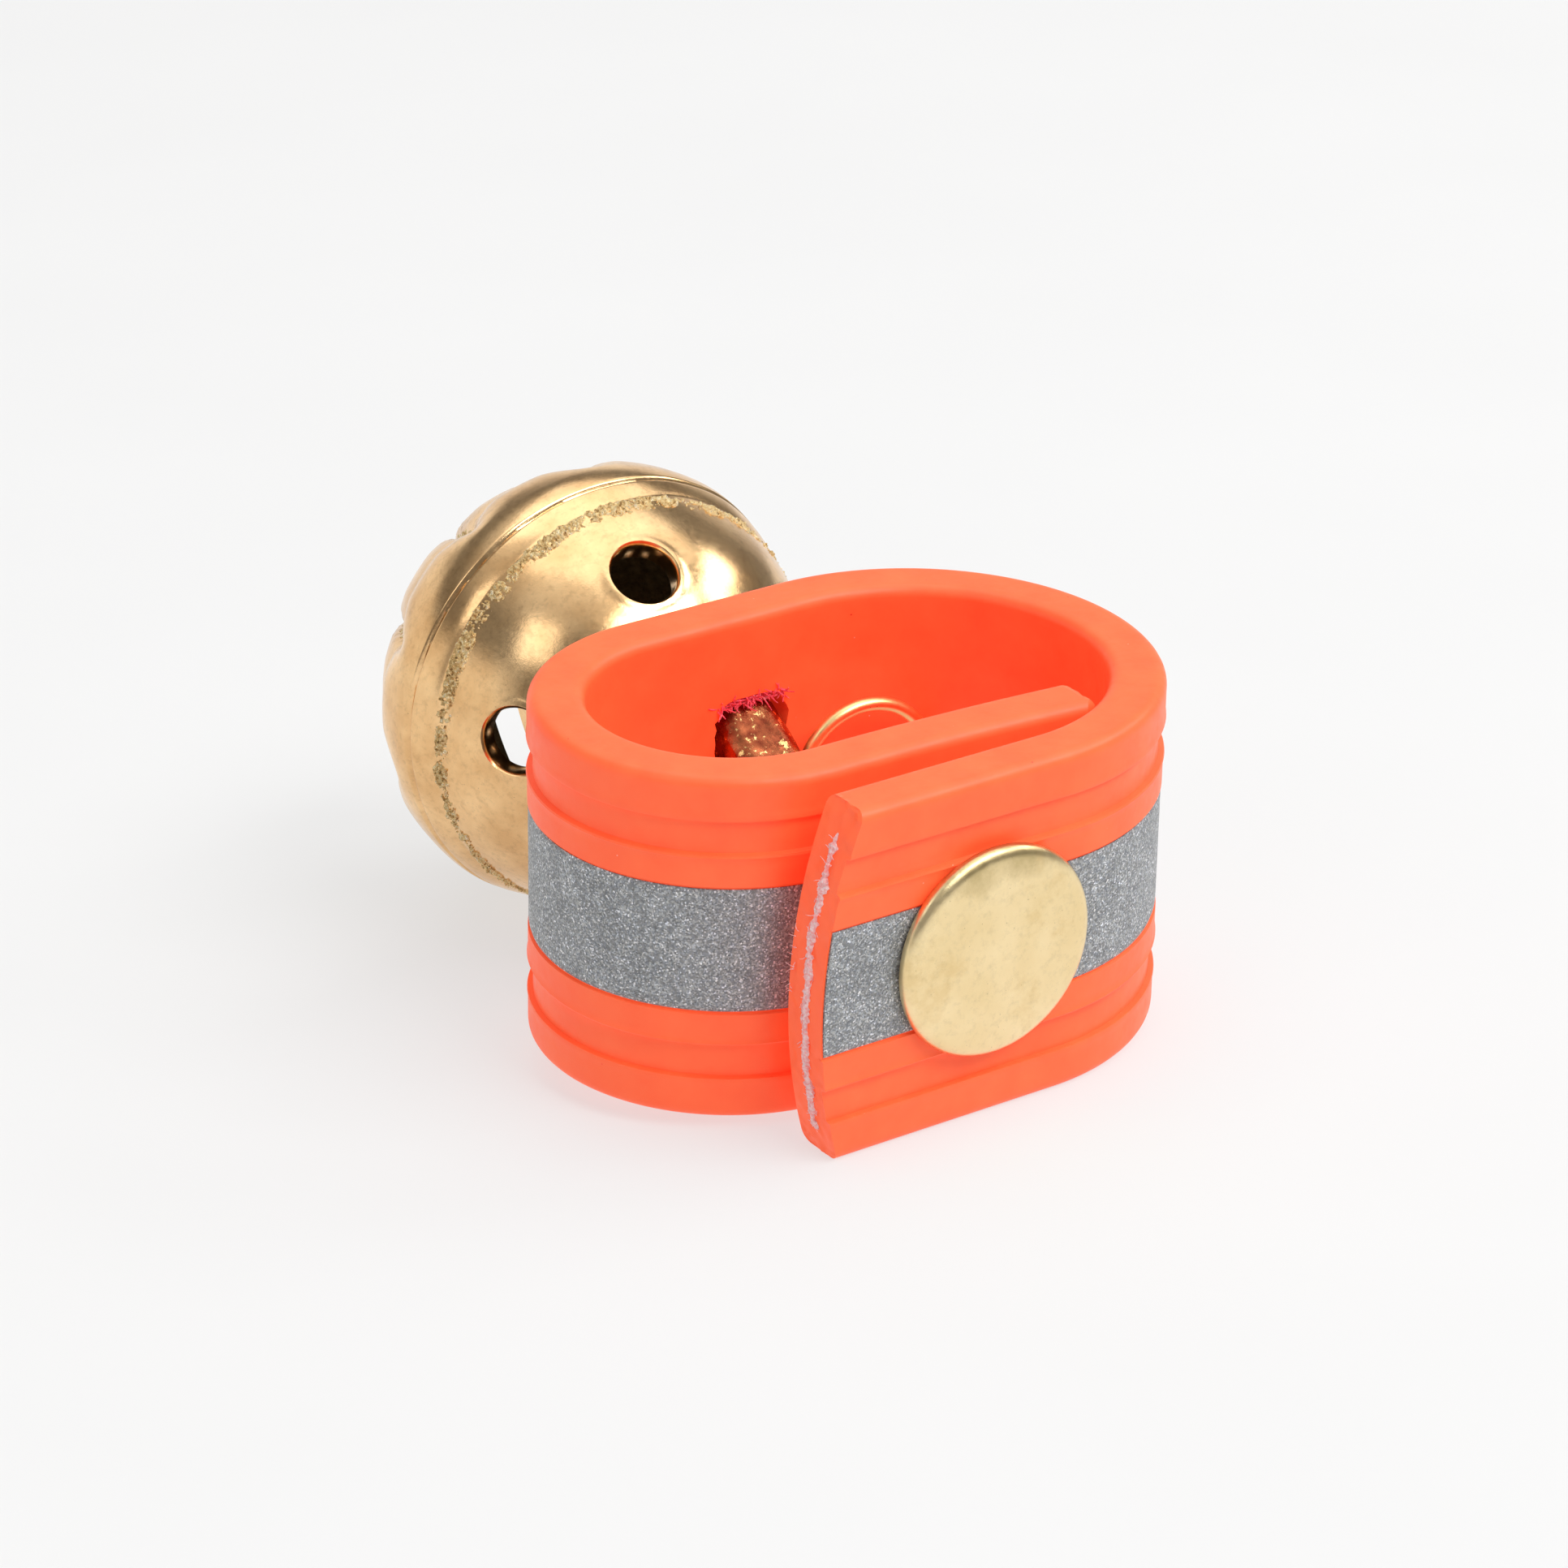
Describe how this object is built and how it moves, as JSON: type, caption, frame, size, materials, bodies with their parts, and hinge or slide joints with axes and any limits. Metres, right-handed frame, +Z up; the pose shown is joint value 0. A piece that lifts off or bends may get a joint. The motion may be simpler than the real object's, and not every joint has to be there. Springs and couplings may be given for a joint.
{
  "type": "sleigh bell on a strap",
  "caption": "Cast brass crotal bell held by its lug and a wire pin in a short coated-webbing strap with a reflective tape, closed into a loop by a press stud.",
  "frame": {"origin": "where the middle line of the strap's loop meets the table", "axes": "+Y from the loop towards the bell, +Z up from the table, +X to the right seen from the press stud's side; the strap and bell stand tipped back by about 5 degrees about X, as they rest on a table"},
  "size_m": [0.0434, 0.0663, 0.0328],
  "materials": {
    "coating": "satin moulded fluorescent orange",
    "webbing": "white woven polyester",
    "tape": "grey glass-bead reflective tape",
    "stud_brass": "plated and polished, lightly scratched",
    "bell_brass": "cast, aged and polished",
    "braze": "rough, bright",
    "pin_brass": "bright drawn wire",
    "steel": "plain"
  },
  "bodies": {
    "strap": {"strap_band": "coating", "core_band": "webbing", "tape_left": "tape", "tape_right": "tape", "snap_stud": "stud_brass", "stud_eyelet": "stud_brass"},
    "flap": {"strap_flap": "coating", "core_flap": "webbing", "tape_flap": "tape", "snap_cap": "stud_brass", "snap_socket": "stud_brass", "socket_spring": "steel"},
    "bell": {"bell_crown": "bell_brass", "braze_seam": "braze", "bell_bowl": "bell_brass"},
    "pellet": {"pellet": "steel"},
    "pin": {"retaining_pin": "pin_brass"}
  },
  "joints": [
    {"name": "flap_hinge", "type": "hinge", "parent": "strap", "child": "flap", "pos_m": [0.01553, -0.01577, 0.00029], "axis": [0, -0.0913, 0.9958], "range_deg": [0, 75], "deforming": ["socket_spring"]},
    {"name": "bell_rock", "type": "hinge", "parent": "strap", "child": "bell", "pos_m": [0, 0.01057, 0.01475], "axis": [1, 0, 0], "range_deg": [-5, 5]},
    {"name": "pin_turn", "type": "hinge", "parent": "bell", "child": "pin", "pos_m": [0, 0.00663, 0.01439], "axis": [0.9879, -0.1446, 0.0568], "range_deg": [-10, 10]},
    {"name": "pellet_roll", "type": "hinge", "parent": "bell", "child": "pellet", "pos_m": [0, 0.02854, 0.0164], "axis": [0, 0.9958, 0.0913], "continuous": true}
  ]
}
